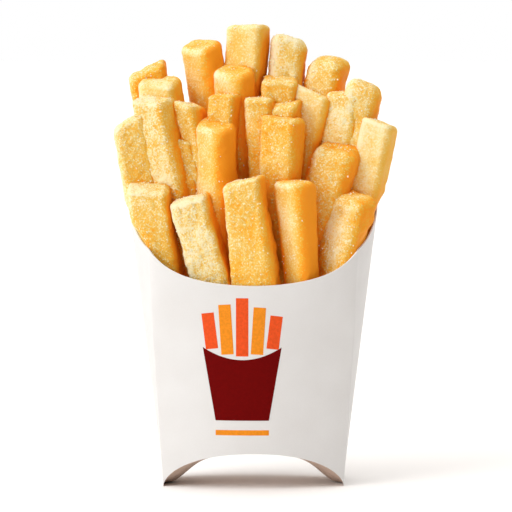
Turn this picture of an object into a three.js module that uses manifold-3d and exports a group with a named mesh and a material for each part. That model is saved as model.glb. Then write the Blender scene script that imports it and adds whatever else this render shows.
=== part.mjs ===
// French fries standing in an open paperboard carton: a bulging front panel with a scooped rim,
// narrow side gussets, a taller domed back panel and an arched base on two feet.
// Millimetres, +Z up. The front faces -Y and +X is to the right. The origin is on the surface
// that the carton stands on, under the middle of the whole object.
import * as THREE from 'three';
import { mergeVertices } from 'three/addons/utils/BufferGeometryUtils.js';
import Module from 'manifold-3d';

const wasm = await Module();
wasm.setup();

const BOARD = 0.6; // thickness of the paperboard
const CLEARANCE = 0.35; // between the fries and the board

// Carton, outer faces. Each side is a narrow gusset between a front and a back crease.
const FOOT_HALF_WIDTH = 32.4; // where both creases start, on the ground
const FRONT_CREASE_SPREAD = 0.059; // outward run of the front crease for each mm of height
const BACK_CREASE_SPREAD = 0.109;
const GUSSET_BULGE_SPREAD = 0.037; // outward bulge that each gusset gains for each mm of height
const FOOT_HALF_DEPTH = 10;
const CREASE_DEPTH_SPREAD = 0.055; // depth that each crease gains for each mm of height
const PANEL_BULGE = 7; // how far the middle of a panel stands out from its creases
const PANEL_BULGE_SPREAD = 0.03;
const SOFT_BEND = { from: 50, to: 90, roundness: 0.4 }; // heights where the crease fades to a bend

const BASE_ARCH = 12.8; // height of the panels' lower edges at the middle
const BASE_FOLD = 10.9; // height of the base panel's lengthwise fold at the middle
const FOLD_REACH = 0.93; // share of the half-width where the fold meets the ground
const FOOT_FILL = 6.5; // the folded board closes each narrow foot up to here
const FRONT_RIM = { low: 73.6, lift: 6.3, corner: 6 }; // the scoop, from the middle to the creases
const GUSSET_RISE = 20; // further climb of the rim across each gusset
const BACK_RIM = FRONT_RIM.low + FRONT_RIM.lift + FRONT_RIM.corner + GUSSET_RISE;
const BACK_DOME = 26; // height of the back panel's dome above its creases

const PANEL_COLUMNS = 24;
const GUSSET_COLUMNS = 4;
const WALL_ROWS = 9;

// The heap. Its rows follow the curve of the panels, so a row's depth y changes by curve towards
// the sides. A fry's x and z say where the middle of its cut top is. lean tilts it to the right,
// the row's pitch tilts it back and turn twists it (degrees). Its cut top slopes sideways by cut
// (degrees) and down towards the front by facing (mm for each mm).
const FRY_DEPTH = 11.6;
const FRY_CORNER = 2.2; // rounding of a fry's long edges
const FRY_TIP = 1.6; // rounding of its cut end
const FRY_TAPER = 0.001; // narrowing for each mm below its top
const HEAP_CORE = { halfWidth: 48, halfDepth: 30, top: 62 };
const MOUND = { halfWidth: 33, halfDepth: 15, top: 104 };

const ROWS = [
  // Along the front rim.
  { y: -15.3, curve: 9, pitch: 1, foot: 50, fries: [
    { x: -37.8, z: 109.2, lean: -9, turn: -8, width: 14.6, cut: -8, facing: 0.3 },
    { x: -23.4, z: 104.5, lean: -16.5, turn: -12, width: 13.6, cut: -2, facing: 0.12 },
    { x: -3.4, z: 110.8, lean: -7, turn: -12, width: 14.2, cut: 8, facing: 0 },
    { x: 14.2, z: 110.2, lean: -4, turn: -44, width: 15.2, cut: -4, facing: 0.1 },
    { x: 36.4, z: 105.2, lean: 11.5, turn: -46, width: 16.6, cut: 10, facing: 0.32 },
  ] },
  { y: -4, curve: 5, pitch: -1, foot: 60, fries: [
    { x: -44.8, z: 131.5, lean: -10.5, turn: 4, width: 12.6, cut: 22, facing: 0.05 },
    { x: -36.4, z: 139.4, lean: -12, turn: -30, width: 12.8, cut: -10, facing: 0.25 },
    { x: -13.4, z: 130.2, lean: 0, turn: -45, width: 14.8, cut: 3, facing: 0.4 },
    { x: 10.4, z: 133, lean: 1, turn: -22, width: 13.4, cut: -8, facing: 0.15 },
    { x: 31.4, z: 123, lean: 16, turn: -18, width: 16.6, cut: 8, facing: 0.3 },
    { x: 45.8, z: 130.3, lean: 10.7, turn: -18, width: 11.8, cut: -8, facing: 0 },
  ] },
  // Shorter ones that stand between the second and the third row.
  { y: 3, curve: 0, pitch: 1, foot: 70, fries: [
    { x: -24.6, z: 125.8, lean: -9, turn: -20, width: 8, cut: -18, facing: 0.2 },
    { x: -22.8, z: 119.6, lean: -11, turn: -20, width: 8, cut: -10, facing: 0.2 },
    { x: -23.2, z: 137.4, lean: -10, turn: -25, width: 8.5, cut: -24, facing: 0.1 },
    { x: -9.6, z: 140.2, lean: 5, turn: -20, width: 10.6, cut: 6, facing: 0 },
    { x: 2.2, z: 139, lean: -3, turn: -8, width: 10.5, cut: -2, facing: 0.05 },
    { x: 11, z: 138, lean: 6, turn: -15, width: 12, cut: 18, facing: 0.2 },
  ] },
  { y: 10, curve: -2, pitch: 2, foot: 70, fries: [
    { x: -34.2, z: 146.8, lean: -8.5, turn: -20, width: 13.6, cut: -6, facing: 0.35 },
    { x: -7.2, z: 149.2, lean: -2, turn: -42, width: 15, cut: 3, facing: 0.4 },
    { x: 9.6, z: 147.2, lean: 2, turn: -5, width: 13, cut: 0, facing: 0.25 },
    { x: 22.4, z: 140.8, lean: 13.5, turn: -20, width: 14.2, cut: -12, facing: 0.05 },
    { x: 33.6, z: 141.2, lean: 7, turn: -20, width: 12.2, cut: 2, facing: 0.15 },
    { x: 41, z: 145.4, lean: 13, turn: -8, width: 13.2, cut: -10, facing: 0.2 },
  ] },
  // Against the back panel.
  { y: 20, curve: -4, pitch: 5, foot: 75, fries: [
    { x: -38.9, z: 150.5, lean: -8, turn: 0, width: 14, cut: 18, facing: 0.3 },
    { x: -19.3, z: 158, lean: -9, turn: -44, width: 14.8, cut: 3, facing: 0.4 },
    { x: -1.8, z: 164.8, lean: 4, turn: -20, width: 14, cut: 4, facing: 0.05 },
    { x: 13.4, z: 161, lean: 6, turn: -5, width: 13.6, cut: -10, facing: 0.1 },
    { x: 28.2, z: 153.6, lean: 13, turn: -22, width: 14, cut: 12, facing: 0.25 },
  ] },
  // Two arcs of short fries that fill the heap between its rows.
  { y: -11, curve: 9, pitch: 0, foot: 56, fries: shortFries({ spacing: 14.5, middle: 72, drop: -6 }) },
  { y: 14, curve: -3, pitch: 3, foot: 70, fries: shortFries({ spacing: 13.5, middle: 134, drop: 14 }) },
];

const lerp = THREE.MathUtils.lerp;
const degrees = THREE.MathUtils.degToRad;

// Outlines of the flat panels before they bulge; across runs from -1 to 1 between the creases.
const archHeight = (across) => BASE_ARCH * (1 - Math.abs(across) ** 2.2) ** 0.6;
const foldShare = (across) => Math.min(1, Math.abs(across) / FOLD_REACH) ** 2.13;
const foldHeight = (across) => BASE_FOLD * (1 + Math.cos(Math.PI * foldShare(across))) / 2;
const floorHeight = (across, inset) => Math.max(archHeight(across), inset > 0 ? FOOT_FILL : 0) + inset;
const frontRim = (across) => FRONT_RIM.low + FRONT_RIM.lift * across ** 2 + FRONT_RIM.corner * across ** 6;
const gussetRim = (along) => lerp(frontRim(1), BACK_RIM, along ** 1.15);
const backRim = (across) => BACK_RIM + BACK_DOME * (1 - across ** 2) ** 0.6;

// A point of the front (side -1) or back (side 1) panel. inset moves it into the carton.
function panelPoint(side, across, z, inset) {
  const spread = side < 0 ? FRONT_CREASE_SPREAD : BACK_CREASE_SPREAD;
  const halfWidth = FOOT_HALF_WIDTH + spread * z - inset * across ** 8;
  const creaseDepth = FOOT_HALF_DEPTH + CREASE_DEPTH_SPREAD * z - inset;
  const bulge = PANEL_BULGE + PANEL_BULGE_SPREAD * z;
  const softness = SOFT_BEND.roundness * THREE.MathUtils.smoothstep(z, SOFT_BEND.from, SOFT_BEND.to);
  const depth = creaseDepth + bulge * (1 - across ** 2) ** (1 - softness);
  return new THREE.Vector3(across * halfWidth, side * depth, z);
}

// A point of the gusset on the side that across names, from its front crease to its back crease.
function gussetPoint(across, along, z, inset) {
  const point = panelPoint(-1, across, z, inset).lerp(panelPoint(1, across, z, inset), along);
  point.x += across ** 9 * GUSSET_BULGE_SPREAD * z * 4 * along * (1 - along);
  return point;
}

// The carton's walls as upright columns, going round counterclockwise as seen from above.
function wallColumns() {
  const columns = [];
  const addPanel = (side, rim) => {
    for (let i = 0; i < PANEL_COLUMNS; i += 1) {
      const across = -side * panelStation(i);
      columns.push({ across, rim: rim(across), at: (z, inset) => panelPoint(side, across, z, inset) });
    }
  };
  const addGusset = (across) => {
    for (let i = 0; i < GUSSET_COLUMNS; i += 1) {
      const along = across > 0 ? i / GUSSET_COLUMNS : 1 - i / GUSSET_COLUMNS;
      columns.push({ across, rim: gussetRim(along), at: (z, inset) => gussetPoint(across, along, z, inset) });
    }
  };
  addPanel(-1, frontRim);
  addGusset(1);
  addPanel(1, backRim);
  addGusset(-1);
  return columns;
}

// Column positions across a panel, closer together towards the creases.
function panelStation(i) {
  return i === 0 ? -1 : Math.sin(Math.PI * (i / PANEL_COLUMNS - 0.5));
}

function basePoint(across, along, inset) {
  const point = gussetPoint(across, along, floorHeight(across, inset), inset);
  const sag = archHeight(across) - foldHeight(across);
  point.z -= sag * (1 - Math.abs(2 * along - 1) ** 1.6);
  return point;
}

// Collects triangles and gives back one indexed geometry with shared corners merged.
function meshBuilder() {
  const positions = [];
  const triangle = (a, b, c) => [a, b, c].forEach((p) => positions.push(p.x, p.y, p.z));
  const quad = (a, b, c, d) => {
    triangle(a, b, c);
    triangle(a, c, d);
  };
  const geometry = () => {
    const soup = new THREE.BufferGeometry();
    soup.setAttribute('position', new THREE.Float32BufferAttribute(positions, 3));
    return mergeVertices(soup, 1e-4);
  };
  return { quad, geometry };
}

// The folded sheet between two skins: walls, base and the cut edge of the rim, as one closed shell.
function boardShell(outerInset, innerInset, rimRise) {
  const mesh = meshBuilder();
  const columns = wallColumns();
  const rings = [outerInset, innerInset].map((inset) => columns.map((column) => {
    const wall = [];
    for (let row = 0; row <= WALL_ROWS; row += 1) {
      const z = lerp(floorHeight(column.across, inset), column.rim + rimRise, row / WALL_ROWS);
      wall.push(column.at(z, inset));
    }
    return wall;
  }));
  columns.forEach((_, i) => {
    const next = (i + 1) % columns.length;
    const [outer, inner] = rings;
    for (let row = 0; row < WALL_ROWS; row += 1) {
      mesh.quad(outer[i][row], outer[next][row], outer[next][row + 1], outer[i][row + 1]);
      mesh.quad(inner[next][row], inner[i][row], inner[i][row + 1], inner[next][row + 1]);
    }
    mesh.quad(outer[i][WALL_ROWS], outer[next][WALL_ROWS], inner[next][WALL_ROWS], inner[i][WALL_ROWS]);
  });
  addBase(mesh, outerInset, innerInset);
  return mesh.geometry();
}

function addBase(mesh, outerInset, innerInset) {
  for (let i = 0; i < PANEL_COLUMNS; i += 1) {
    const left = panelStation(i);
    const right = panelStation(i + 1);
    for (let k = 0; k < GUSSET_COLUMNS; k += 1) {
      const near = k / GUSSET_COLUMNS;
      const far = (k + 1) / GUSSET_COLUMNS;
      const corners = (inset) => [
        basePoint(left, near, inset), basePoint(right, near, inset),
        basePoint(right, far, inset), basePoint(left, far, inset),
      ];
      mesh.quad(...corners(outerInset).reverse());
      mesh.quad(...corners(innerInset));
    }
  }
}

function shortFries({ spacing, middle, drop }) {
  return [-2.5, -1.5, -0.5, 0.5, 1.5, 2.5].map((place) => ({
    x: place * spacing,
    z: middle - drop * (place / 2.5) ** 2,
    lean: 5 * place,
    turn: -15 * place,
    width: 12,
    cut: 6 * place,
    facing: 0.25,
  }));
}

// One fry: a tapering stick with rounded edges and a slanted cut top, its foot inside the heap.
function fryGeometry(fry, row) {
  const length = (fry.z - row.foot) / Math.cos(degrees(fry.lean)) - FRY_TIP;
  const geometry = new THREE.ExtrudeGeometry(roundedRectangle(fry.width, FRY_DEPTH), {
    depth: length,
    steps: 1,
    curveSegments: 1,
    bevelThickness: FRY_TIP,
    bevelSize: FRY_TIP,
    bevelOffset: -FRY_TIP,
    bevelSegments: 1,
  });
  geometry.rotateZ(degrees(fry.turn));
  taperAndCut(geometry, length, fry);
  geometry.translate(0, 0, -length - FRY_TIP);
  geometry.rotateX(degrees(-row.pitch));
  geometry.rotateY(degrees(fry.lean));
  geometry.translate(fry.x, row.y + row.curve * (fry.x / 40) ** 2, fry.z);
  return geometry;
}

function roundedRectangle(width, depth) {
  const x = width / 2;
  const y = depth / 2;
  const shape = new THREE.Shape();
  shape.moveTo(-x + FRY_CORNER, -y);
  shape.lineTo(x - FRY_CORNER, -y);
  shape.absarc(x - FRY_CORNER, -y + FRY_CORNER, FRY_CORNER, -Math.PI / 2, 0, false);
  shape.absarc(x - FRY_CORNER, y - FRY_CORNER, FRY_CORNER, 0, Math.PI / 2, false);
  shape.absarc(-x + FRY_CORNER, y - FRY_CORNER, FRY_CORNER, Math.PI / 2, Math.PI, false);
  shape.absarc(-x + FRY_CORNER, -y + FRY_CORNER, FRY_CORNER, Math.PI, Math.PI * 1.5, false);
  return shape;
}

function taperAndCut(geometry, length, { cut, facing, turn }) {
  const slope = Math.tan(degrees(cut));
  const farEdge = (FRY_DEPTH / 2) * Math.cos(degrees(2 * turn));
  const position = geometry.attributes.position;
  for (let i = 0; i < position.count; i += 1) {
    const z = position.getZ(i);
    const scale = 1 - FRY_TAPER * (length - z);
    position.setXYZ(i, position.getX(i) * scale, position.getY(i) * scale, z);
    if (z > length / 2) {
      position.setZ(i, z + slope * position.getX(i) + facing * (position.getY(i) - farEdge));
    }
  }
}

// An upright elliptical block, widest at its foot.
function heapBlock({ halfWidth, halfDepth, top }, taper) {
  const block = new THREE.CylinderGeometry(taper, 1, top, 28);
  block.rotateX(Math.PI / 2);
  block.scale(halfWidth, halfDepth, 1);
  block.translate(0, 0, top / 2);
  return block;
}

function toManifold(geometry) {
  const bare = new THREE.BufferGeometry();
  bare.setAttribute('position', geometry.attributes.position);
  bare.setIndex(geometry.index);
  const merged = mergeVertices(bare, 1e-4);
  const mesh = new wasm.Mesh({
    numProp: 3,
    vertProperties: new Float32Array(merged.attributes.position.array),
    triVerts: new Uint32Array(merged.index.array),
  });
  return new wasm.Manifold(mesh);
}

function toGeometry(manifold) {
  const mesh = manifold.getMesh();
  const geometry = new THREE.BufferGeometry();
  geometry.setAttribute('position', new THREE.Float32BufferAttribute(mesh.vertProperties, 3));
  geometry.setIndex(new THREE.Uint32BufferAttribute(mesh.triVerts, 1));
  return geometry;
}

// All the fries in one body: they join in the heap's core, and the board cuts them to its inside.
function heapGeometry() {
  let heap = toManifold(heapBlock(HEAP_CORE, 1)).add(toManifold(heapBlock(MOUND, 0.5)));
  for (const row of ROWS) {
    for (const fry of row.fries) {
      heap = heap.add(toManifold(fryGeometry(fry, row)));
    }
  }
  const reach = 16; // how far outside the board the fries are cut away below the rim
  const inside = heap.subtract(toManifold(boardShell(-reach, BOARD + CLEARANCE, CLEARANCE)));
  const bodies = inside.decompose().sort((a, b) => b.volume() - a.volume());
  return toGeometry(bodies[0]);
}

const cartonMaterial = new THREE.MeshStandardMaterial({ color: 0xf2f0ec, roughness: 0.6, metalness: 0 });
const friesMaterial = new THREE.MeshStandardMaterial({ color: 0xe9b55c, roughness: 0.7, metalness: 0 });

const carton = new THREE.Mesh(boardShell(0, BOARD, 0), cartonMaterial);
carton.name = 'carton';

const fries = new THREE.Mesh(heapGeometry(), friesMaterial);
fries.name = 'fries';

const group = new THREE.Group();
group.add(carton, fries);

// The origin goes under the middle of the whole.
const middle = new THREE.Box3().setFromObject(group).getCenter(new THREE.Vector3());
group.position.set(-middle.x, -middle.y, 0);
group.updateMatrixWorld(true);

export default group;
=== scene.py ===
"""French fries standing in a printed paperboard carton, with fine meshes and procedural materials.

Shapes are worked out in millimetres in the design frame of the carton, whose feet stand on z = 0 with
x = 0 in the middle of the front panel. The last step of each shape moves it into the row frame.
"""

import itertools
import math
from typing import NamedTuple

import bpy
import numpy as np
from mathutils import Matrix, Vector
from mathutils.bvhtree import BVHTree


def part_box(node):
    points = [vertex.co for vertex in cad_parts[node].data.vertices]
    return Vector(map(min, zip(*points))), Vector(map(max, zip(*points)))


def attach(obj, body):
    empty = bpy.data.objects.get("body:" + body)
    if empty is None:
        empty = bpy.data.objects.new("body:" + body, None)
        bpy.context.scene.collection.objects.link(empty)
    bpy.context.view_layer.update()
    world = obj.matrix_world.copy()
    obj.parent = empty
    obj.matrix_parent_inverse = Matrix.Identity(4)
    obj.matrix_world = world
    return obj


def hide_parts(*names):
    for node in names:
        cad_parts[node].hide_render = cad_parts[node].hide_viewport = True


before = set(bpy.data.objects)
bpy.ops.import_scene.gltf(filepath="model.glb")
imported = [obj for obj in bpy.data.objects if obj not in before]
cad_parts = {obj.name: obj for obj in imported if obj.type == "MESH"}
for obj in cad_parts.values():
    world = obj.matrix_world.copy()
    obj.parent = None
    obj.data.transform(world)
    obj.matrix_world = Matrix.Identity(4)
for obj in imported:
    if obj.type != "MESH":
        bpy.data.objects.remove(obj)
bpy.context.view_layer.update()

MM = 0.001

# ---------------------------------------------------------------- carton sizes, outer faces
BOARD = 0.5  # thickness of the paperboard
CLEARANCE = 0.35  # between the fries and the board

FOOT_HALF_WIDTH = 32.4  # where the front and back creases of a gusset start, on the ground
FRONT_CREASE_SPREAD = 0.059  # outward run of the front crease for each mm of height
BACK_CREASE_SPREAD = 0.109
GUSSET_BULGE_SPREAD = 0.037  # outward bulge that each gusset gains for each mm of height
GUSSET_BLEND = 9  # odd power that keeps that bulge out of the base, except close to the gussets
FOOT_HALF_DEPTH = 10
CREASE_DEPTH_SPREAD = 0.055  # depth that each crease gains for each mm of height
PANEL_BULGE = 7  # how far the middle of a panel stands out from its creases
PANEL_BULGE_SPREAD = 0.03
PANEL_INSET_BLEND = 8  # power that moves the inner skin sideways only close to the creases
SOFT_BEND_FROM, SOFT_BEND_TO = 50, 90  # heights where the crease fades to a bend
SOFT_BEND_ROUNDNESS = 0.4

BASE_ARCH = 12.8  # height of the panels' lower edges at the middle
ARCH_SPAN, ARCH_SHOULDER = 2.2, 0.6  # powers that shape the arch
BASE_FOLD = 10.9  # height of the base panel's lengthwise fold at the middle
FOLD_REACH = 0.93  # share of the half-width where the fold meets the ground
FOLD_SPAN = 2.13  # power that widens the fold's crown
BASE_CUP = 1.6  # power that rounds the base panel from its fold to its edges
FOOT_FILL = 6.5  # the folded board closes each narrow foot up to here

RIM_LOW, RIM_LIFT, RIM_CORNER = 73.6, 6.3, 6  # the scoop, from the middle to the creases
GUSSET_RISE = 20  # further climb of the rim across each gusset
GUSSET_SWEEP = 1.15  # power that hollows that climb a little
BACK_RIM = RIM_LOW + RIM_LIFT + RIM_CORNER + GUSSET_RISE
BACK_DOME = 26  # height of the back panel's dome above its creases
DOME_SHOULDER = 0.6  # power that squares the dome's shoulders
RIM_CROWN = 0.08  # how much the cut edge bulges between the two skins

SEAM_ACROSS = 0.86  # the glue flap's edge, on the back panel
SEAM_STEP = 0.35  # how far the flap stands out
FOLD_ANGLE = 50  # degrees from which a bend in the board shows as a sharp edge
WELD_DISTANCE = 0.02

PANEL_COLUMNS = 96  # of the mesh, across a panel
GUSSET_COLUMNS = 16
WALL_ROWS = 56

# ---------------------------------------------------------------- fries
FRY_DEPTH = 11.6
MESH_STEP = 0.65  # distance between a fry's vertices
CORNER_POINTS = 10  # on each rounded edge of a fry's section, before they are spaced out evenly
TIP_RINGS = 7  # round the edge of the cut end
END_RINGS = 6  # across the cut end
FRY_BOW = 0.7  # how far a fry bends from straight at the most
CUT_FROM = 0.4  # share of a fry's length from where its slanted end starts to shift the mesh
LUMPS = ((0.6, 14, 1), (0.3, 5.5, 2))  # height, size and noise seed of each layer of relief
CRUST = ((0.2, 2.6, 3), (0.17, 1.4, 4))
CRUST_BASE = 0.3  # how much of the fine crust even a skin without grain has
NOISE_SPAN = 900  # each fry takes its relief from its own place in the noise, within this distance
ROW_CURVE_REACH = 40  # distance from the middle at which the whole of a row's curve counts


class Skin(NamedTuple):
    """A kind of crust: rounding of the long edges and the cut end, relief, mottling, salt, how much painted
    shade deepens the fry's right side and painted light pales its left, and how much browner it gets
    towards its foot."""
    corner: float
    tip: float
    relief: float
    grain: float
    salt: float
    side_shading: float
    foot_tone: float


SKINS = {
    "round": Skin(corner=4.6, tip=2.4, relief=0.8, grain=0.6, salt=0.7, side_shading=0.68, foot_tone=0.1),
    "smooth": Skin(corner=2.7, tip=1.9, relief=0.8, grain=0.55, salt=0.7, side_shading=0.36, foot_tone=0.16),
    "rough": Skin(corner=2.4, tip=1.7, relief=0.95, grain=0.95, salt=1.2, side_shading=0.34, foot_tone=0.12),
    "domed": Skin(corner=4.2, tip=4.2, relief=1.0, grain=0.95, salt=1.4, side_shading=0.48, foot_tone=0.14),
    "salted": Skin(corner=2.4, tip=1.7, relief=0.8, grain=1.25, salt=2.2, side_shading=0.34, foot_tone=-0.12),
}


class Fry(NamedTuple):
    """x and z say where the middle of the cut top is. lean, turn and cut are in degrees; facing is how
    far the cut end slopes down towards the front, and flare how much the fry widens for each mm down."""
    x: float
    z: float
    lean: float
    turn: float
    width: float
    cut: float
    facing: float = 0.25
    flare: float = -0.0006
    skin: str = "rough"
    tone: float = 0.45


class Row(NamedTuple):
    """A row of fries follows the panels: its depth y changes by curve towards the sides. pitch tilts it
    back (degrees), and its fries reach down to foot."""
    y: float
    curve: float
    pitch: float
    foot: float
    fries: list


def short_fries(spacing, middle, drop):
    """An arc of short fries that fills the heap between two rows."""
    places = [-2.5, -1.5, -0.5, 0.5, 1.5, 2.5]
    outermost = places[-1]
    return [
        Fry(
            x=place * spacing,
            z=middle - drop * (place / outermost) ** 2,
            lean=5 * place,
            turn=-15 * place,
            width=12,
            cut=6 * place,
            tone=0.68,
        )
        for place in places
    ]


FRONT_ROW = Row(y=-15.3, curve=9, pitch=1, foot=50, fries=[
    Fry(-37.8, 109.2, -9, -8, 14.6, -8, 0.3, 0, "rough", 0.46),
    Fry(-23.4, 104.5, -16.5, -12, 13.6, -2, 0.12, 0.001, "salted", 0.2),
    Fry(-3.4, 110.8, -7, -12, 14.2, 8, 0.0, 0.004, "rough", 0.46),
    Fry(14.2, 110.2, -4, -44, 15.2, -4, 0.1, -0.004, "round", 0.68),
    Fry(36.4, 105.2, 11.5, -46, 16.6, 10, 0.32, 0, "domed", 0.56),
])
SECOND_ROW = Row(y=-4, curve=5, pitch=-1, foot=60, fries=[
    Fry(-44.8, 131.5, -10.5, 4, 12.6, 22, 0.05, 0, "rough", 0.36),
    Fry(-36.4, 139.4, -12, -30, 12.8, -10, 0.25, 0.001, "salted", 0.4),
    Fry(-13.4, 130.2, 0, -45, 14.8, 3, 0.4, -0.001, "round", 0.7),
    Fry(10.4, 133, 1, -22, 13.4, -8, 0.15, -0.001, "rough", 0.66),
    Fry(31.4, 123, 16, -18, 16.6, 8, 0.3, 0, "domed", 0.66),
    Fry(45.8, 130.3, 10.7, -18, 11.8, -8, 0.0, 0, "smooth", 0.28),
])
GAP_ROW = Row(y=3, curve=0, pitch=1, foot=70, fries=[
    Fry(-24.6, 125.8, -9, -20, 8, -18, 0.2, 0, "rough", 0.55),
    Fry(-22.8, 119.6, -11, -20, 8, -10, 0.2, 0, "rough", 0.5),
    Fry(-23.2, 137.4, -10, -25, 8.5, -24, 0.1, 0, "rough", 0.5),
    Fry(-9.6, 140.2, 5, -20, 10.6, 6, 0.0, 0, "rough", 0.64),
    Fry(2.2, 139, -3, -8, 10.5, -2, 0.05, 0, "rough", 0.5),
    Fry(11, 138, 6, -15, 12, 18, 0.2, 0, "rough", 0.5),
])
THIRD_ROW = Row(y=10, curve=-2, pitch=2, foot=70, fries=[
    Fry(-34.2, 146.8, -8.5, -20, 13.6, -6, 0.35, 0, "smooth", 0.44),
    Fry(-7.2, 149.2, -2, -42, 15, 3, 0.4, -0.001, "round", 0.67),
    Fry(9.6, 147.2, 2, -5, 13, 0, 0.25, 0, "rough", 0.46),
    Fry(22.4, 140.8, 13.5, -20, 14.2, -12, 0.05, 0, "smooth", 0.4),
    Fry(33.6, 141.2, 7, -20, 12.2, 2, 0.15, 0, "rough", 0.34),
    Fry(41, 145.4, 13, -8, 13.2, -10, 0.2, 0, "domed", 0.42),
])
BACK_ROW = Row(y=20, curve=-4, pitch=5, foot=75, fries=[
    Fry(-38.9, 150.5, -8, 0, 14, 18, 0.3, 0, "rough", 0.68),
    Fry(-19.3, 158, -9, -44, 14.8, 3, 0.4, -0.001, "round", 0.8),
    Fry(-1.8, 164.8, 4, -20, 14, 4, 0.05, 0, "smooth", 0.4),
    Fry(13.4, 161, 6, -5, 13.6, -10, 0.1, 0, "domed", 0.24),
    Fry(28.2, 153.6, 13, -22, 14, 12, 0.25, 0, "domed", 0.48),
])
FRONT_FILLERS = Row(y=-11, curve=9, pitch=0, foot=56, fries=short_fries(14.5, 72, -6))
BACK_FILLERS = Row(y=14, curve=-3, pitch=3, foot=70, fries=short_fries(13.5, 134, 14))

FRY_PIECES = {
    "fries_front": [FRONT_ROW],
    "fries_second": [SECOND_ROW],
    "fries_between": [GAP_ROW],
    "fries_third": [THIRD_ROW],
    "fries_back": [BACK_ROW],
    "fries_short": [FRONT_FILLERS, BACK_FILLERS],
}


# ---------------------------------------------------------------- numbers
def lerp(a, b, t):
    return a + (b - a) * t


def smoothstep(value, low, high):
    t = np.clip((value - low) / (high - low), 0, 1)
    return t * t * (3 - 2 * t)


NOISE_TABLE = np.random.default_rng(11).uniform(-1, 1, 4096)
NOISE_SEED_SHIFT = 17.3


def noise(points, cell, seed):
    """Smooth noise from -1 to 1 with lumps about cell millimetres wide, the same on each run."""
    scaled = points / cell + seed * NOISE_SEED_SHIFT
    low = np.floor(scaled).astype(np.int64)
    blend = scaled - low
    blend = blend * blend * (3 - 2 * blend)
    total = np.zeros(len(points))
    for corner in itertools.product((0, 1), repeat=3):
        at = low + corner
        key = (at[:, 0] * 73856093) ^ (at[:, 1] * 19349663) ^ (at[:, 2] * 83492791)
        weight = np.prod(np.where(corner, blend, 1 - blend), axis=1)
        total += weight * NOISE_TABLE[key & (len(NOISE_TABLE) - 1)]
    return total


def relief(points, layers):
    return sum(height * noise(points, size, seed) for height, size, seed in layers)


# ---------------------------------------------------------------- the carton's faces
def panel_sizes(side, z):
    """Half-width, crease depth, bulge and roundness of the front (-1) or back (1) panel at z."""
    spread = FRONT_CREASE_SPREAD if side < 0 else BACK_CREASE_SPREAD
    half_width = FOOT_HALF_WIDTH + spread * z
    crease_depth = FOOT_HALF_DEPTH + CREASE_DEPTH_SPREAD * z
    bulge = PANEL_BULGE + PANEL_BULGE_SPREAD * z
    roundness = SOFT_BEND_ROUNDNESS * smoothstep(z, SOFT_BEND_FROM, SOFT_BEND_TO)
    return half_width, crease_depth, bulge, roundness


def panel_point(side, across, z, inset):
    """A point of a panel; across runs from -1 to 1 between its creases, inset goes into the carton."""
    half_width, crease_depth, bulge, roundness = panel_sizes(side, z)
    x = across * (half_width - inset * across ** PANEL_INSET_BLEND)
    y = side * (crease_depth - inset + bulge * (1 - across ** 2) ** (1 - roundness))
    return np.stack([x, y, z], axis=-1)


def gusset_point(across, along, z, inset):
    """A point of a side gusset; along runs from its front crease to its back crease."""
    front = panel_point(-1, across, z, inset)
    back = panel_point(1, across, z, inset)
    point = front + (back - front) * np.asarray(along)[..., None]
    point[..., 0] += across ** GUSSET_BLEND * GUSSET_BULGE_SPREAD * z * 4 * along * (1 - along)
    return point


def arch_height(across):
    """The lower edge of the front and back panels."""
    return BASE_ARCH * np.clip(1 - np.abs(across) ** ARCH_SPAN, 0, 1) ** ARCH_SHOULDER


def fold_height(across):
    """The fold that runs from foot to foot along the middle of the base panel."""
    share = np.minimum(1, np.abs(across) / FOLD_REACH) ** FOLD_SPAN
    return BASE_FOLD * (1 + np.cos(np.pi * share)) / 2


def floor_height(across, inset):
    """Where the walls start: at the arch outside, and above the filled feet inside."""
    return np.maximum(arch_height(across), FOOT_FILL if inset > 0 else 0) + inset


def front_rim(across):
    return RIM_LOW + RIM_LIFT * across ** 2 + RIM_CORNER * across ** 6


def gusset_rim(along):
    return lerp(front_rim(1), BACK_RIM, along ** GUSSET_SWEEP)


def back_rim(across):
    return BACK_RIM + BACK_DOME * np.clip(1 - across ** 2, 0, 1) ** DOME_SHOULDER


def to_row_frame():
    """The move from the design frame to the row frame, in millimetres."""
    low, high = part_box("carton")
    front = FOOT_HALF_DEPTH + CREASE_DEPTH_SPREAD * RIM_LOW + PANEL_BULGE + PANEL_BULGE_SPREAD * RIM_LOW
    return np.array([(low.x + high.x) / 2 / MM, low.y / MM + front, 0])


SHIFT = to_row_frame()


# ---------------------------------------------------------------- meshes
class Surface:
    """Collects points, faces and values for each point in the design frame, and makes one object."""

    def __init__(self):
        self.points = []
        self.faces = []
        self.slots = []
        self.values = {}
        self.count = 0

    def add(self, points, faces, slot=0, **values):
        self.points.append(points)
        for key, value in values.items():
            self.values.setdefault(key, []).append(np.broadcast_to(value, len(points)))
        for group in faces:
            self.faces.extend((group + self.count).tolist())
            self.slots.extend([slot] * len(group))
        self.count += len(points)

    def build(self, name, materials, sharp=None):
        """Makes the object; sharp is the angle in degrees from which its edges aren't smoothed."""
        mesh = bpy.data.meshes.new(name)
        mesh.from_pydata(((np.concatenate(self.points) + SHIFT) * MM).tolist(), [], self.faces)
        for material in materials:
            mesh.materials.append(material)
        mesh.polygons.foreach_set("material_index", self.slots)
        for key, parts in self.values.items():
            attribute = mesh.attributes.new(key, "FLOAT", "POINT")
            attribute.data.foreach_set("value", np.concatenate(parts).astype(np.float32))
        mesh.update()
        mesh.shade_smooth()
        if sharp:
            mesh.set_sharp_from_angle(angle=math.radians(sharp))
        piece = bpy.data.objects.new(name, mesh)
        bpy.context.scene.collection.objects.link(piece)
        return piece


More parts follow.
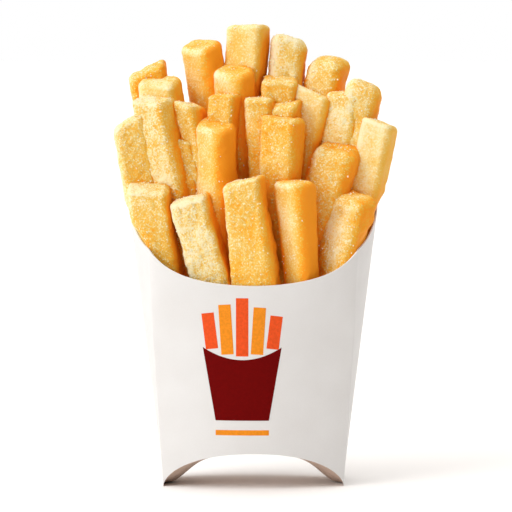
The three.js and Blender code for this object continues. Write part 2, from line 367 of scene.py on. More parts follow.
def grid_faces(rows, columns, wrap=False, flip=False):
    """Quads over rows of columns; wrap joins each row's end to its start."""
    i, j = np.meshgrid(np.arange(rows - 1), np.arange(columns if wrap else columns - 1), indexing="ij")
    right = (j + 1) % columns
    quads = np.stack([i * columns + j, i * columns + right, (i + 1) * columns + right,
                      (i + 1) * columns + j], axis=-1).reshape(-1, 4)
    return quads[:, ::-1] if flip else quads


def fan_faces(ring_start, columns, centre, flip=False):
    """Triangles from a ring of points to the one in its centre."""
    j = np.arange(columns)
    following = (j + 1) % columns
    triangles = np.stack([ring_start + j, ring_start + following, np.full(columns, centre)], axis=-1)
    return triangles[:, ::-1] if flip else triangles


# ---------------------------------------------------------------- carton
def panel_stations():
    """Column positions across a panel, closer together towards the creases."""
    return np.sin(np.pi * (np.arange(PANEL_COLUMNS) / PANEL_COLUMNS - 0.5))


def seam_step(across, row, inset):
    """How far the flap glued over the back panel stands out; only the outer skin shows it."""
    return SEAM_STEP * (across > SEAM_ACROSS) * (row > 0) * (inset == 0)


def wall_rings(inset):
    """The walls as rows of points, going round counterclockwise as seen from above."""
    stations = panel_stations()
    along = np.arange(GUSSET_COLUMNS) / GUSSET_COLUMNS
    crease = np.ones_like(along)
    panel_floor = floor_height(stations, inset)
    gusset_floor = floor_height(crease, inset)
    rows = []
    for row in range(WALL_ROWS + 1):
        share = row / WALL_ROWS
        front_z = lerp(panel_floor, front_rim(stations), share)
        right_z = lerp(gusset_floor, gusset_rim(along), share)
        back_z = lerp(panel_floor, back_rim(stations), share)
        left_z = lerp(gusset_floor, gusset_rim(1 - along), share)
        back_inset = inset - seam_step(-stations, row, inset)
        rows.append(np.concatenate([
            panel_point(-1, stations, front_z, inset),
            gusset_point(crease, along, right_z, inset),
            panel_point(1, -stations, back_z, back_inset),
            gusset_point(-crease, 1 - along, left_z, inset),
        ]))
    return np.array(rows)


def base_grid(inset):
    """The base panel between the two arches, sagging to its fold in the middle."""
    across = np.append(panel_stations(), 1.0)
    along = np.linspace(0, 1, GUSSET_COLUMNS + 1)
    rows = []
    for t in along:
        point = gusset_point(across, np.full_like(across, t), floor_height(across, inset), inset)
        sag = arch_height(across) - fold_height(across)
        point[:, 2] -= sag * (1 - abs(2 * t - 1) ** BASE_CUP)
        rows.append(point)
    return np.array(rows)


def carton_board(materials):
    """The folded sheet: walls and base with an outer and an inner skin, and the cut edge of the rim."""
    surface = Surface()
    outer = wall_rings(0)
    inner = wall_rings(BOARD)
    columns = outer.shape[1]
    surface.add(outer.reshape(-1, 3), [grid_faces(WALL_ROWS + 1, columns, wrap=True)])
    surface.add(inner.reshape(-1, 3), [grid_faces(WALL_ROWS + 1, columns, wrap=True, flip=True)])
    crown = lerp(outer[-1], inner[-1], 0.5) + (0, 0, RIM_CROWN)
    edge = np.array([outer[-1], crown, inner[-1]])
    # the rim's cut edge, painted brighter as a highlight
    surface.add(edge.reshape(-1, 3), [grid_faces(3, columns, wrap=True)], slot=1)
    # the base's outer face, seen under the arch, takes the underside painted in shade (slot 2)
    for inset, flip, slot in ((0, True, 2), (BOARD, False, 0)):
        base = base_grid(inset)
        surface.add(base.reshape(-1, 3), [grid_faces(*base.shape[:2], flip=flip)], slot)
    piece = surface.build("carton_board", materials)
    weld(piece)
    piece.data.set_sharp_from_angle(angle=math.radians(FOLD_ANGLE))
    return piece


def weld(piece):
    """Joins the skins where they meet, so that the sheet is one closed mesh."""
    modifier = piece.modifiers.new("weld", "WELD")
    modifier.merge_threshold = WELD_DISTANCE * MM
    bpy.context.view_layer.objects.active = piece
    bpy.ops.object.modifier_apply(modifier=modifier.name)


# ---------------------------------------------------------------- printed emblem
PRINT_LIFT = 0.05  # how far the ink's face stands off the board
PRINT_ROOT = 0.12  # how deep its back lies in the board
EMBLEM_X = -4.0  # its middle lies a little left of the panel's
CUP_BOTTOM, CUP_HEIGHT = 25.0, 22.0
CUP_FOOT_HALF, CUP_TOP_HALF = 9.5, 14.0
CUP_SCOOP = 4.5
STICK_HEIGHTS = (13, 18, 21, 17, 12)
STICK_STEP = 5.3  # between the sticks' feet
STICK_SPLAY = 0.45  # and how much further apart their middles are
STICK_LEAN = 3.5  # degrees that each next stick leans more
STICK_HALF_WIDTH = 2.2
STICK_GAP = 1.3  # between a stick's foot and the cup
LINE_Z, LINE_HEIGHT, LINE_HALF_WIDTH = 20.6, 1.9, 9.5


def printed_shape(surface, slot, centre, height, half_width, lean=0.0, scoop=0.0, rows=28, columns=10):
    """A flat shape on the front panel. half_width(t) is its half-width where t runs from about -1 to 1
    upwards, and scoop lifts the corners of its upper edge."""
    t = -np.cos(np.linspace(0.02, 0.98, rows) * np.pi)[:, None]
    s = np.linspace(-1, 1, columns)[None, :]
    local_x = half_width(t) * s
    local_z = t * height / 2 + scoop * s ** 2 * (t + 1) / 2
    angle = math.radians(lean)
    x = centre[0] + local_x * math.cos(angle) + local_z * math.sin(angle)
    z = centre[1] - local_x * math.sin(angle) + local_z * math.cos(angle)
    across = x / panel_sizes(-1, z)[0]
    face = panel_point(-1, across, z, -PRINT_LIFT).reshape(-1, 3)
    back = panel_point(-1, across, z, PRINT_ROOT).reshape(-1, 3)
    border = np.concatenate([
        np.arange(columns), np.arange(1, rows) * columns + columns - 1,
        (rows - 1) * columns + np.arange(columns - 2, -1, -1), np.arange(rows - 2, 0, -1) * columns,
    ])
    following = np.roll(border, -1)
    side = np.stack([border + rows * columns, following + rows * columns, following, border], axis=-1)
    faces = [grid_faces(rows, columns), grid_faces(rows, columns, flip=True) + rows * columns, side]
    surface.add(np.concatenate([face, back]), faces, slot)


def printed_emblem(materials):
    """A plain picture of a tapered cup with five sticks in it, over a short line."""
    surface = Surface()
    maroon, orange, amber = range(3)

    def cup_half(t):
        return lerp(CUP_FOOT_HALF, CUP_TOP_HALF, (t + 1) / 2)

    cup_middle = (EMBLEM_X, CUP_BOTTOM + CUP_HEIGHT / 2)
    printed_shape(surface, maroon, cup_middle, CUP_HEIGHT, cup_half, scoop=CUP_SCOOP, columns=24)
    for place, height in enumerate(STICK_HEIGHTS, start=-2):
        rim = CUP_BOTTOM + CUP_HEIGHT + CUP_SCOOP * (place * STICK_STEP / CUP_TOP_HALF) ** 2
        middle = (EMBLEM_X + place * (STICK_STEP + STICK_SPLAY), rim + STICK_GAP + height / 2)
        colour = amber if place % 2 else orange
        printed_shape(surface, colour, middle, height, lambda t: np.full_like(t, STICK_HALF_WIDTH),
                      lean=place * STICK_LEAN)
    printed_shape(surface, amber, (EMBLEM_X, LINE_Z), LINE_HEIGHT,
                  lambda t: np.full_like(t, LINE_HALF_WIDTH), columns=24)
    return surface.build("printed_emblem", materials, sharp=FOLD_ANGLE)


# ---------------------------------------------------------------- fries
HOLD_FADE = 8  # height above the rim over which the board stops holding the fries

BASE_TONE = 0.09  # added to each fry's own tone
FOOT_TONE_FROM, FOOT_TONE_TO = 45, 5  # millimetres below its top between which a fry gets browner
PATCH_TONE = 0.15  # strength of the broad patches
LUMP_TONE = 0.16  # how much paler the lumps are than the hollows
EDGE_HIGHLIGHT, EDGE_PATCHES = 0.08, 0.28  # painted highlight: the cut end's edge is painted paler, and patchy
END_TONE, END_SPECKS = 0.26, 0.3  # and so is the cut end itself, with browner specks
RIM_SHADE = 0.14  # painted shade: how much browner fries are painted where the rim shades them
ENCLOSED_SHADE = 0.42  # painted shade: how much deeper the colour is painted where fries are close together
GAP_SHADE = 0.7  # painted shade: and how much more it deepens in the narrow gaps between them
GAP_FROM, GAP_TO = 0.42, 0.85  # how enclosed a place is where a gap starts and where it is full

SIDE_SMOOTHING = 0.65  # how much of the mottling is gone on the side painted in shade
END_GRAIN = 0.3  # and how much there is more on the cut end

RAYS = 7  # looks round from each point
RAY_REACH = 22  # how far they look
RAY_START = 0.6  # above the crust
RAY_SPREAD = 0.75  # squared sine of the widest look


def rounded_section(width, depth, corner, count):
    """Evenly spaced points and outward normals round a rounded rectangle, counterclockwise."""
    outline = []
    for quarter, (sx, sy) in enumerate(((1, 1), (-1, 1), (-1, -1), (1, -1))):
        angles = np.radians(np.linspace(0, 90, CORNER_POINTS) + 90 * quarter)
        centre = np.array([sx * (width / 2 - corner), sy * (depth / 2 - corner)])
        outline.append(centre + corner * np.stack([np.cos(angles), np.sin(angles)], axis=-1))
    outline = np.concatenate(outline + [outline[0][:1]])
    travelled = np.append(0, np.cumsum(np.linalg.norm(np.diff(outline, axis=0), axis=1)))
    places = np.arange(count) / count * travelled[-1]
    points = np.stack([np.interp(places, travelled, outline[:, k]) for k in (0, 1)], axis=-1)
    tangents = np.roll(points, -1, axis=0) - np.roll(points, 1, axis=0)
    tangents /= np.linalg.norm(tangents, axis=1)[:, None]
    return points, np.stack([tangents[:, 1], -tangents[:, 0]], axis=-1)


def turn_matrix(axis, angle):
    """A turn about one axis, by an angle in degrees."""
    c, s = math.cos(math.radians(angle)), math.sin(math.radians(angle))
    if axis == "x":
        return np.array([[1, 0, 0], [0, c, -s], [0, s, c]])
    if axis == "y":
        return np.array([[c, 0, s], [0, 1, 0], [-s, 0, c]])
    return np.array([[c, -s, 0], [s, c, 0], [0, 0, 1]])


def fry_rings(length, skin):
    """Each ring's height, inset from the section, share left of it, and how far its normal tips up."""
    body = np.linspace(0, length - skin.tip, max(4, int(length / MESH_STEP)))
    rings = [(h, 0.0, 1.0, 0.0) for h in body]
    for step in range(1, TIP_RINGS + 1):
        angle = math.pi / 2 * step / TIP_RINGS
        height = length - skin.tip + skin.tip * math.sin(angle)
        rings.append((height, skin.tip * (1 - math.cos(angle)), 1.0, angle))
    for step in range(1, END_RINGS + 1):
        share = 1 - step / (END_RINGS + 1)
        rings.append((length, skin.tip, share, math.pi / 2))
    return np.array(rings)


def straight_fry(fry, length):
    """An upright stick from its foot at 0 up to length: its points and outward normals, ring by ring,
    then the middles of its cut end and its foot. Also its ring count and the points in each ring."""
    skin = SKINS[fry.skin]
    count = int(2 * (fry.width + FRY_DEPTH) / MESH_STEP)
    section, outward = rounded_section(fry.width, FRY_DEPTH, skin.corner, count)
    rings = fry_rings(length, skin)
    height, inset, share, tip_angle = [rings[:, k][:, None] for k in range(4)]

    flat = (section[None] - outward[None] * inset[..., None]) * share[..., None]
    level = np.broadcast_to(height[..., None], (*flat.shape[:2], 1))
    points = np.concatenate([flat, level], axis=-1).reshape(-1, 3)
    sideways = outward[None] * np.cos(tip_angle)[..., None]
    upward = np.broadcast_to(np.sin(tip_angle)[..., None], (*flat.shape[:2], 1))
    normals = np.concatenate([sideways, upward], axis=-1).reshape(-1, 3)
    points = np.concatenate([points, [[0, 0, length], [0, 0, 0]]])
    normals = np.concatenate([normals, [[0, 0, 1], [0, 0, -1]]])
    return points, normals, len(rings), count


def cut_lift(fry, points, length):
    """How far the slanted cut end lifts each point."""
    slope = math.tan(math.radians(fry.cut))
    far_edge = FRY_DEPTH / 2 * math.cos(math.radians(2 * fry.turn))
    lift = slope * points[:, 0] + fry.facing * (points[:, 1] - far_edge)
    return lift * smoothstep(points[:, 2], length * CUT_FROM, length - SKINS[fry.skin].tip)


def fry_shape(fry, row, seed):
    """A fry's points, faces, normals and browning: a stick with a slanted cut end and a lumpy crust."""
    skin = SKINS[fry.skin]
    length = (fry.z - row.foot) / math.cos(math.radians(fry.lean))
    rng = np.random.default_rng(seed)
    points, normals, ring_count, columns = straight_fry(fry, length)

    seeded = points + rng.uniform(0, NOISE_SPAN, 3)
    lumps = relief(seeded, LUMPS)
    crust = relief(seeded, CRUST) * (CRUST_BASE + skin.grain)
    points += normals * ((lumps + crust) * skin.relief)[:, None]

    spin = turn_matrix("z", fry.turn)
    points = points @ spin.T
    normals = normals @ spin.T
    points[:, :2] *= (1 + fry.flare * (length - points[:, 2]))[:, None]
    bow = rng.uniform(-FRY_BOW, FRY_BOW, 2)
    points[:, :2] += bow * np.sin(np.pi * points[:, 2] / length)[:, None]
    points[:, 2] += cut_lift(fry, points, length)

    points[:, 2] -= length
    tilt = turn_matrix("y", fry.lean) @ turn_matrix("x", -row.pitch)
    depth = row.y + row.curve * (fry.x / ROW_CURVE_REACH) ** 2
    points = points @ tilt.T + (fry.x, depth, fry.z)
    normals = normals @ tilt.T

    faces = [
        grid_faces(ring_count, columns, wrap=True),
        fan_faces((ring_count - 1) * columns, columns, len(points) - 2),
        fan_faces(0, columns, len(points) - 1, flip=True),
    ]
    pressed, held = press_inside(points)
    # painted shade on the fries where the carton's rim shades them
    tone = fry_tone(fry, points, normals, seeded, lumps) + RIM_SHADE * held
    return pressed, faces, normals, tone


def fry_tone(fry, points, normals, seeded, lumps):
    """Tone from 0, pale, to 1, deep gold: painted shade on the right side and painted light on the left,
    browner low down, paler on the cut end, with a painted highlight round its edge.
    """
    skin = SKINS[fry.skin]
    upward = np.clip(normals[:, 2], 0, 1)
    edge = 4 * upward * (1 - upward)
    low = 1 - smoothstep(points[:, 2], fry.z - FOOT_TONE_FROM, fry.z - FOOT_TONE_TO)
    tone = np.full(len(points), fry.tone + BASE_TONE)
    # painted shade on the fry's right side and painted light on its left, as if lit from the left
    tone += skin.side_shading * normals[:, 0]
    # painted highlight along the cut end's edge, broken into patches
    tone += edge * (EDGE_PATCHES * noise(seeded, 9, 8) - EDGE_HIGHLIGHT)
    tone += skin.foot_tone * low
    tone += PATCH_TONE * noise(seeded, 8, 5) - LUMP_TONE * lumps
    tone += upward * (END_SPECKS * np.clip(noise(seeded, 2.2, 6), 0, 1) - END_TONE)
    return tone


def sky_directions():
    """Evenly spread directions about +Z, leaning out by up to about 60 degrees."""
    golden = math.pi * (3 - math.sqrt(5))
    lean = [math.acos(math.sqrt(1 - (k + 0.5) / RAYS * RAY_SPREAD)) for k in range(RAYS)]
    return [Vector((math.sin(a) * math.cos(golden * k), math.sin(a) * math.sin(golden * k), math.cos(a)))
            for k, a in enumerate(lean)]


def closeness(points, normals, tree):
    """How enclosed each point is by its neighbours, from 0, open, to 1."""
    directions = sky_directions()
    up = Vector((0, 0, 1))
    shut = np.zeros(len(points))
    for index, (point, normal) in enumerate(zip(points.tolist(), normals.tolist())):
        outward = Vector(normal)
        frame_turn = up.rotation_difference(outward)
        start = Vector(point) + outward * RAY_START
        for direction in directions:
            distance = tree.ray_cast(start, frame_turn @ direction, RAY_REACH)[3]
            if distance is not None:
                shut[index] += 1 - distance / RAY_REACH
    return shut / RAYS


def fry_grain(fry, normals):
    """How strongly the crust is mottled."""
    upward = np.clip(normals[:, 2], 0, 1)
    shaded_side = np.clip(normals[:, 0] * 1.4, 0, 1)
    return SKINS[fry.skin].grain * (1 - SIDE_SMOOTHING * shaded_side) + END_GRAIN * upward


def press_inside(points):
    """Moves what would go through the carton's wall to its inner face, fading out above the rim, and
    tells how far that holds for each point, from 1 below the rim to 0 well above it."""
    margin = BOARD + CLEARANCE
    x, y, z = points.T.copy()
    level = np.maximum(z, 1)
    half_front, crease, bulge, roundness = panel_sizes(-1, level)
    half_back = panel_sizes(1, level)[0]
    along = np.clip((y + crease) / (2 * crease), 0, 1)
    reach = lerp(half_front, half_back, along) + GUSSET_BULGE_SPREAD * level * 4 * along * (1 - along)
    inner_x = np.clip(x, margin - reach, reach - margin)
    side_half = np.where(y < 0, half_front, half_back)
    across = np.clip(inner_x / side_half, -1, 1)
    depth = crease - margin + bulge * (1 - across ** 2) ** (1 - roundness)
    inner_y = np.clip(y, -depth, depth)
    rim = np.where(y < 0, front_rim(across), back_rim(across))
    rim = np.where(np.abs(y) < crease, gusset_rim(along), rim)
    held = 1 - smoothstep(z, rim, rim + HOLD_FADE)
    pressed = points.copy()
    pressed[:, 0] = lerp(x, inner_x, held)
    pressed[:, 1] = lerp(y, inner_y, held)
    return pressed, held


def all_fries():
    """Every fry's shape, in lists by the name of the piece that it belongs to."""
    shapes = {}
    for number, (name, rows) in enumerate(FRY_PIECES.items(), start=1):
        fries = [(fry, row) for row in rows for fry in row.fries]
        shapes[name] = [
            (fry, *fry_shape(fry, row, seed))
            for seed, (fry, row) in enumerate(fries, start=100 * number)
        ]
    return shapes


def neighbour_tree(shapes):
    """All the fries together, to find what is near each of them."""
    surface = Surface()
    for fries in shapes.values():
        for _, points, faces, _, _ in fries:
            surface.add(points, faces)
    return BVHTree.FromPolygons(np.concatenate(surface.points).tolist(), surface.faces)


def fries_piece(name, fries, tree, material):
    """One piece of several fries, with the painted shade that their neighbours cast on them."""
    surface = Surface()
    for fry, points, faces, normals, tone in fries:
        enclosed = closeness(points, normals, tree)
        shaded_side = np.clip(0.5 + normals[:, 0], 0.1, 1)
        # painted shade where neighbours close in, more on the right side and most in the narrow gaps
        painted_shade = ENCLOSED_SHADE * enclosed * shaded_side
        painted_shade += GAP_SHADE * smoothstep(enclosed, GAP_FROM, GAP_TO)
        surface.add(points, faces, tone=tone + painted_shade, grain=fry_grain(fry, normals))
    return surface.build(name, [material])


# ---------------------------------------------------------------- heap core and salt
CORE_FLOOR, CORE_SHOULDER, CORE_TOP = 14, 52, 84
CORE_HALF_WIDTH, CORE_HALF_DEPTH = 46, 26
CORE_COLUMNS, CORE_WALL_ROWS, CORE_CAP_ROWS = 160, 50, 40
CORE_LUMPS = 1.5
CORE_BLEND = 5  # the lumps come in over this distance on each side of the shoulder
# the core is painted the deep gold of fries in shade: painted shade for the heap's hidden inside
CORE_SHADE_TONE, CORE_MOTTLE, CORE_GRAIN = 0.95, 0.1, 0.8


def heap_core(material):
    """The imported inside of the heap, hidden between the fries: a lumpy mound from the base up."""
    angles = np.linspace(0, 2 * np.pi, CORE_COLUMNS, endpoint=False)
    outline = np.stack([CORE_HALF_WIDTH * np.cos(angles), CORE_HALF_DEPTH * np.sin(angles)], axis=-1)
    profile = [(z, 1.0) for z in np.linspace(CORE_FLOOR, CORE_SHOULDER, CORE_WALL_ROWS)]
    for row in range(1, CORE_CAP_ROWS):
        share = 1 - row / CORE_CAP_ROWS
        profile.append((lerp(CORE_SHOULDER, CORE_TOP, smoothstep(1 - share, 0.0, 0.8)), share))
    rings = [np.insert(outline * share, 2, z, axis=1) for z, share in profile]
    points, _ = press_inside(np.concatenate(rings + [[[0, 0, CORE_TOP], [0, 0, CORE_FLOOR]]]))
    lumps = noise(points, 9, 21) + 0.5 * noise(points, 4, 22)
    above = smoothstep(points[:, 2], CORE_SHOULDER - CORE_BLEND, CORE_SHOULDER + CORE_BLEND)
    points[:, 2] += CORE_LUMPS * lumps * above
    surface = Surface()
    faces = [
        grid_faces(len(profile), CORE_COLUMNS, wrap=True),
        fan_faces((len(profile) - 1) * CORE_COLUMNS, CORE_COLUMNS, len(points) - 2),
        fan_faces(0, CORE_COLUMNS, len(points) - 1, flip=True),
    ]
    surface.add(points, faces, tone=CORE_SHADE_TONE + CORE_MOTTLE * lumps, grain=CORE_GRAIN)
    return surface.build("heap_core", [material])


GRAIN_CORNERS = np.array(list(itertools.product((-1, 1), repeat=3)), float)
GRAIN_FACES = np.array([[0, 1, 3, 2], [4, 6, 7, 5], [0, 4, 5, 1], [2, 3, 7, 6], [0, 2, 6, 4], [1, 5, 7, 3]])
SALT_DENSITY = 0.012  # grains for each vertex that they can lie on
SALT_SIZES = (0.1, 0.23)  # half the length of a grain's edge
SALT_STRETCH = (0.7, 1.3)
SALT_LIFT = 0.4  # share of its size that a grain's middle stands above the crust


def salt_grains(shapes, material):
    """Small crystals sitting on the crusts, more of them on the salted ones."""
    surface = Surface()
    rng = np.random.default_rng(5)
    for fry, points, _, normals, _ in itertools.chain.from_iterable(shapes.values()):
        open_places = np.flatnonzero((points[:, 2] > RIM_LOW) & (normals[:, 0] < 0.5))
        amount = int(len(open_places) * SALT_DENSITY * SKINS[fry.skin].salt)
        chosen = rng.choice(open_places, amount, replace=False)
        for index in chosen:
            size = rng.uniform(*SALT_SIZES)
            stretch = rng.uniform(*SALT_STRETCH, 3)
            spin = turn_matrix("x", rng.uniform(0, 360)) @ turn_matrix("z", rng.uniform(0, 360))
            corners = GRAIN_CORNERS * size * stretch @ spin.T
            surface.add(corners + points[index] + normals[index] * size * SALT_LIFT, [GRAIN_FACES])
    return surface.build("salt_grains", [material], sharp=30)


# ---------------------------------------------------------------- materials
class Nodes:
    """A short way to write a material's nodes."""

    def __init__(self, name):
        self.material = bpy.data.materials.new(name)
        self.material.use_nodes = True
        self.tree = self.material.node_tree
        self.shader = self.tree.nodes["Principled BSDF"]
        self.coordinates = self.tree.nodes.new("ShaderNodeTexCoord").outputs["Object"]

    def set(self, **inputs):
        for key, value in inputs.items():
            self.shader.inputs[key.replace("_", " ")].default_value = value

    def link(self, output, socket):
        self.tree.links.new(output, socket)

    def noise(self, size_mm, detail=3.0, roughness=0.5):
        node = self.tree.nodes.new("ShaderNodeTexNoise")
        node.inputs["Scale"].default_value = 1 / (size_mm * MM)
        node.inputs["Detail"].default_value = detail
        node.inputs["Roughness"].default_value = roughness
        self.link(self.coordinates, node.inputs["Vector"])
        return node.outputs["Fac"]

    def math(self, operation, a, b=0.0, c=0.0):
        node = self.tree.nodes.new("ShaderNodeMath")
        node.operation = operation
        for socket, value in zip(node.inputs, (a, b, c)):
            if isinstance(value, (int, float)):
                socket.default_value = value
            else:
                self.link(value, socket)
        return node.outputs[0]

    def step(self, value, low, high):
        """0 below low and 1 above high, with a smooth climb between."""
        node = self.tree.nodes.new("ShaderNodeMapRange")
        node.interpolation_type = "SMOOTHSTEP"
        node.inputs["From Min"].default_value = low
        node.inputs["From Max"].default_value = high
        self.link(value, node.inputs["Value"])
        return node.outputs["Result"]

    def attribute(self, name):
        node = self.tree.nodes.new("ShaderNodeAttribute")
        node.attribute_name = name
        return node.outputs["Fac"]

    def colour(self, factor, *stops):
        """Colours the material along factor, through stops of a position and a colour."""
        node = self.tree.nodes.new("ShaderNodeValToRGB")
        elements = node.color_ramp.elements
        while len(elements) < len(stops):
            elements.new(0.5)
        for element, (position, colour) in zip(elements, stops):
            element.position = position
            element.color = (*colour, 1)
        self.link(factor, node.inputs["Fac"])
        self.link(node.outputs["Color"], self.shader.inputs["Base Color"])

    def bump(self, height, distance_mm):
        node = self.tree.nodes.new("ShaderNodeBump")
        node.inputs["Strength"].default_value = 1.0
        node.inputs["Distance"].default_value = distance_mm * MM
        self.link(height, node.inputs["Height"])
        self.link(node.outputs["Normal"], self.shader.inputs["Normal"])


def fried_potato():
    """Crust from cream to deep gold, mottled by fine blisters; the browning and the painted light and shade
    come with the mesh.
    """
    nodes = Nodes("fried_potato")
    grain = nodes.attribute("grain")
    specks = nodes.noise(0.62, detail=2, roughness=0.55)
    blisters = nodes.noise(1.7, detail=3, roughness=0.6)
    patches = nodes.noise(4.5, detail=3)
    frost = nodes.step(specks, 0.56, 0.64)
    mottle = nodes.math("MULTIPLY", frost, 0.28)
    for layer, weight in ((specks, 1.1), (blisters, 0.7), (patches, 0.6)):
        mottle = nodes.math("MULTIPLY_ADD", nodes.math("SUBTRACT", layer, 0.5), weight, mottle)
    tone = nodes.math("SUBTRACT", nodes.attribute("tone"), nodes.math("MULTIPLY", mottle, grain))
    nodes.colour(
        tone,
        (0.0, (0.96, 0.83, 0.53)),
        (0.25, (0.93, 0.72, 0.31)),
        (0.5, (0.88, 0.55, 0.115)),
        (0.75, (0.90, 0.44, 0.038)),
        (1.0, (0.96, 0.33, 0.016)),
    )
    height = nodes.math("MULTIPLY_ADD", nodes.math("ADD", specks, blisters), grain,
                        nodes.math("MULTIPLY", patches, 0.5))
    nodes.bump(height, 0.4)
    nodes.set(Roughness=0.55, Specular_IOR_Level=0.12)
    nodes.set(Subsurface_Weight=0.15, Subsurface_Scale=0.0012, Subsurface_Radius=(1.0, 0.6, 0.3))
    return nodes.material


def salt():
    """Small crystals, warm from the crust that they lie on."""
    nodes = Nodes("salt")
    nodes.colour(nodes.noise(0.6), (0.3, (0.98, 0.84, 0.55)), (0.7, (1, 0.94, 0.76)))
    nodes.set(Roughness=0.3, Specular_IOR_Level=0.6)
    return nodes.material


def coated_board():
    """White coated paperboard: faint fibres, slight waves and a satin coat."""
    nodes = Nodes("coated_board")
    fibres = nodes.noise(0.5, detail=5, roughness=0.7)
    clouds = nodes.noise(14, detail=2)
    shade = nodes.math("MULTIPLY_ADD", clouds, 0.6, nodes.math("MULTIPLY", fibres, 0.4))
    nodes.colour(shade, (0.3, (0.735, 0.72, 0.705)), (0.7, (0.785, 0.775, 0.765)))
    nodes.bump(nodes.math("MULTIPLY_ADD", clouds, 4.0, fibres), 0.05)
    nodes.set(Roughness=0.48, Specular_IOR_Level=0.4)
    return nodes.material


def cut_board():
    """The board's cut edge: bare fibres, painted brighter than the coat as the highlight that the rim
    catches.
    """
    nodes = Nodes("cut_board")
    nodes.colour(nodes.noise(0.3), (0.3, (0.86, 0.87, 0.88)), (0.7, (0.95, 0.96, 0.97)))
    nodes.set(Roughness=0.8, Specular_IOR_Level=0.2)
    return nodes.material


def shaded_underside():
    """The base panel's underside: painted a warmer, duller and darker white as the shade that falls under
    the arch.
    """
    nodes = Nodes("shaded_underside")
    fibres = nodes.noise(0.6, detail=5, roughness=0.7)
    nodes.colour(fibres, (0.3, (0.46, 0.33, 0.26)), (0.7, (0.58, 0.44, 0.36)))
    nodes.bump(fibres, 0.08)
    nodes.set(Roughness=0.85, Specular_IOR_Level=0.15)
    return nodes.material


def ink(name, colour):
    """Printed ink, a little uneven, on the satin coat."""
    nodes = Nodes(name)
    darker = tuple(channel * 0.85 for channel in colour)
    nodes.colour(nodes.noise(0.9, detail=4), (0.35, darker), (0.65, colour))
    nodes.set(Roughness=0.7, Specular_IOR_Level=0.05)
    return nodes.material


# ---------------------------------------------------------------- stage, light and camera
FLOOR_HALF_WIDTH = 4  # metres


def stage_floor():
    """A plain floor for the pictures, which isn't part of the object."""
    mesh = bpy.data.meshes.new("floor")
    half = FLOOR_HALF_WIDTH
    corners = [(-half, -half, 0), (half, -half, 0), (half, half, 0), (-half, half, 0)]
    mesh.from_pydata(corners, [], [(0, 1, 2, 3)])
    nodes = Nodes("floor")
    nodes.colour(nodes.noise(300), (0.3, (0.97, 0.94, 0.92)), (0.7, (0.98, 0.95, 0.93)))
    nodes.set(Roughness=0.9, Specular_IOR_Level=0.0)
    mesh.materials.append(nodes.material)
    floor = bpy.data.objects.new("floor", mesh)
    bpy.context.scene.collection.objects.link(floor)


AMBIENT = 0.735
FLAG_AZIMUTH = 42  # a dark card stands on the right, in front of the object
FLAG_EDGE, FLAG_MIDDLE = 0.48, 0.85  # cosines of the angles off its middle where it starts and is black


def white_surroundings():
    """Even light from all round but for a dark card; the camera sees plain white behind the object."""
    world = bpy.data.worlds.new("studio")
    world.use_nodes = True
    bpy.context.scene.world = world
    tree = world.node_tree
    background = tree.nodes["Background"]
    background.inputs["Color"].default_value = (1.0, 0.985, 0.96, 1)
    towards_flag = tree.nodes.new("ShaderNodeVectorMath")
    towards_flag.operation = "DOT_PRODUCT"
    angle = math.radians(FLAG_AZIMUTH)
    towards_flag.inputs[1].default_value = (math.sin(angle), -math.cos(angle), 0)
    tree.links.new(tree.nodes.new("ShaderNodeTexCoord").outputs["Generated"], towards_flag.inputs[0])
    open_share = tree.nodes.new("ShaderNodeMapRange")
    open_share.interpolation_type = "SMOOTHSTEP"
    limits = {"From Min": FLAG_EDGE, "From Max": FLAG_MIDDLE, "To Min": AMBIENT, "To Max": 0.0}
    for socket, value in limits.items():
        open_share.inputs[socket].default_value = value
    tree.links.new(towards_flag.outputs["Value"], open_share.inputs["Value"])
    tree.links.new(open_share.outputs["Result"], background.inputs["Strength"])
    white = tree.nodes.new("ShaderNodeBackground")
    white.inputs["Color"].default_value = (1, 1, 1, 1)
    mix = tree.nodes.new("ShaderNodeMixShader")
    path = tree.nodes.new("ShaderNodeLightPath")
    tree.links.new(path.outputs["Is Camera Ray"], mix.inputs["Fac"])
    tree.links.new(background.outputs[0], mix.inputs[1])
    tree.links.new(white.outputs[0], mix.inputs[2])
    tree.links.new(mix.outputs[0], tree.nodes["World Output"].inputs["Surface"])


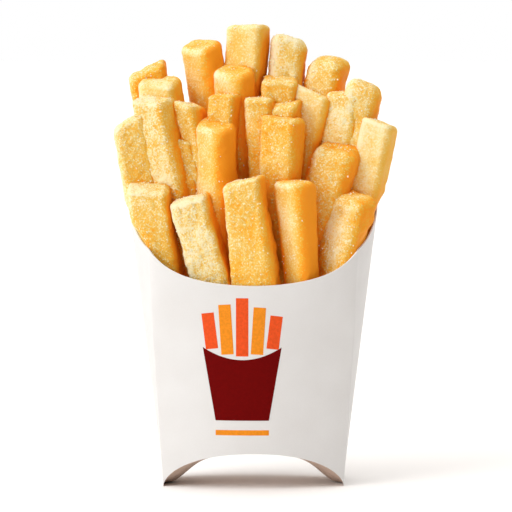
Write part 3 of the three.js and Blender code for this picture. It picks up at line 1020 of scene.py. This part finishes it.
def soft_sun(name, azimuth, elevation, spread, strength):
    """Light from far off; azimuth 0 comes from the front, and a negative one from the left."""
    data = bpy.data.lights.new(name, "SUN")
    data.angle = math.radians(spread)
    data.energy = strength * math.pi
    light = bpy.data.objects.new(name, data)
    a, e = math.radians(azimuth), math.radians(elevation)
    towards = Vector((math.sin(a) * math.cos(e), -math.cos(a) * math.cos(e), math.sin(e)))
    light.rotation_euler = towards.to_track_quat("Z", "Y").to_euler()
    bpy.context.scene.collection.objects.link(light)


CAMERA_DISTANCE = 1.2  # metres
CAMERA_ELEVATION = 5.5
VIEW_WIDTH = 184.3  # millimetres across the picture, at the object
AIM = (0.9, 0.0, 82.1)
SENSOR_WIDTH = 36


def camera():
    """A long lens, straight in front and a little above."""
    data = bpy.data.cameras.new("camera")
    data.sensor_width = SENSOR_WIDTH
    data.lens = SENSOR_WIDTH * CAMERA_DISTANCE / (VIEW_WIDTH * MM)
    eye = bpy.data.objects.new("camera", data)
    aim = Vector((np.array(AIM) + SHIFT) * MM)
    angle = math.radians(CAMERA_ELEVATION)
    back = Vector((0, -math.cos(angle), math.sin(angle)))
    eye.location = aim + back * CAMERA_DISTANCE
    eye.rotation_euler = (-back).to_track_quat("-Z", "Y").to_euler()
    bpy.context.scene.collection.objects.link(eye)
    bpy.context.scene.camera = eye


def lights():
    """A broad light from the left and a broader one from above, shown in plain colours."""
    soft_sun("key", azimuth=-60, elevation=30, spread=40, strength=0.42)
    soft_sun("top", azimuth=0, elevation=88, spread=60, strength=0.4)
    bpy.context.scene.view_settings.view_transform = "Standard"


# ---------------------------------------------------------------- the whole
def place(piece, node, slot_name):
    """Puts a piece on the one body, in the place of its CAD node, which it hides; slot_name is not used."""
    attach(piece, "root")
    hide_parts(node)


place(carton_board([coated_board(), cut_board(), shaded_underside()]), "carton", "board")
inks = [ink("maroon_ink", (0.16, 0.001, 0.001)), ink("orange_ink", (0.88, 0.1, 0.021)),
        ink("amber_ink", (0.93, 0.3, 0.02))]
place(printed_emblem(inks), "carton", "board")

crust = fried_potato()
fry_shapes = all_fries()
tree = neighbour_tree(fry_shapes)
for name, fries in fry_shapes.items():
    place(fries_piece(name, fries, tree, crust), "fries", "fried_potato")
place(heap_core(crust), "fries", "fried_potato")
grains = salt_grains(fry_shapes, salt())
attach(grains, "root")
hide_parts("fries")

stage_floor()
white_surroundings()
lights()
camera()
